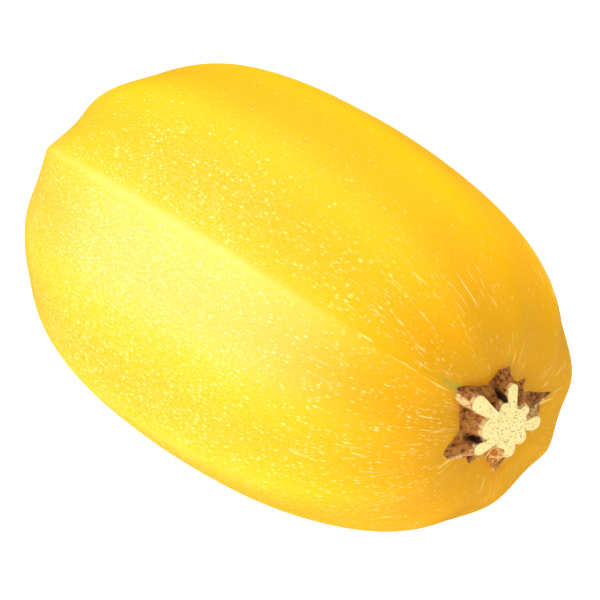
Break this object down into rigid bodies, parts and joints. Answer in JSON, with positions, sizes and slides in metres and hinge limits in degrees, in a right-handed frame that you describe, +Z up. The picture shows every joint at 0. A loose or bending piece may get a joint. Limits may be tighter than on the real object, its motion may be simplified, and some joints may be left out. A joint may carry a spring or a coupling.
{
  "type": "spaghetti squash",
  "caption": "Whole oblong yellow winter squash with soft lengthwise ribs and a short cut stalk stub, lying on its belly.",
  "frame": {"origin": "centre of the bounding box in X and Y, at the surface the belly rests on", "axes": "+X along the fruit's length towards the stalk, +Z up, +Y completes the right-handed frame"},
  "size_m": [0.2234, 0.1352, 0.132],
  "materials": {
    "rind": "smooth waxy golden-yellow rind with fine cream flecks, satin",
    "dry_stalk": "dry corky brown stalk, pale straw cut face, matt"
  },
  "bodies": {
    "root": {"fruit": "rind", "stem": "dry_stalk"}
  },
  "joints": []
}
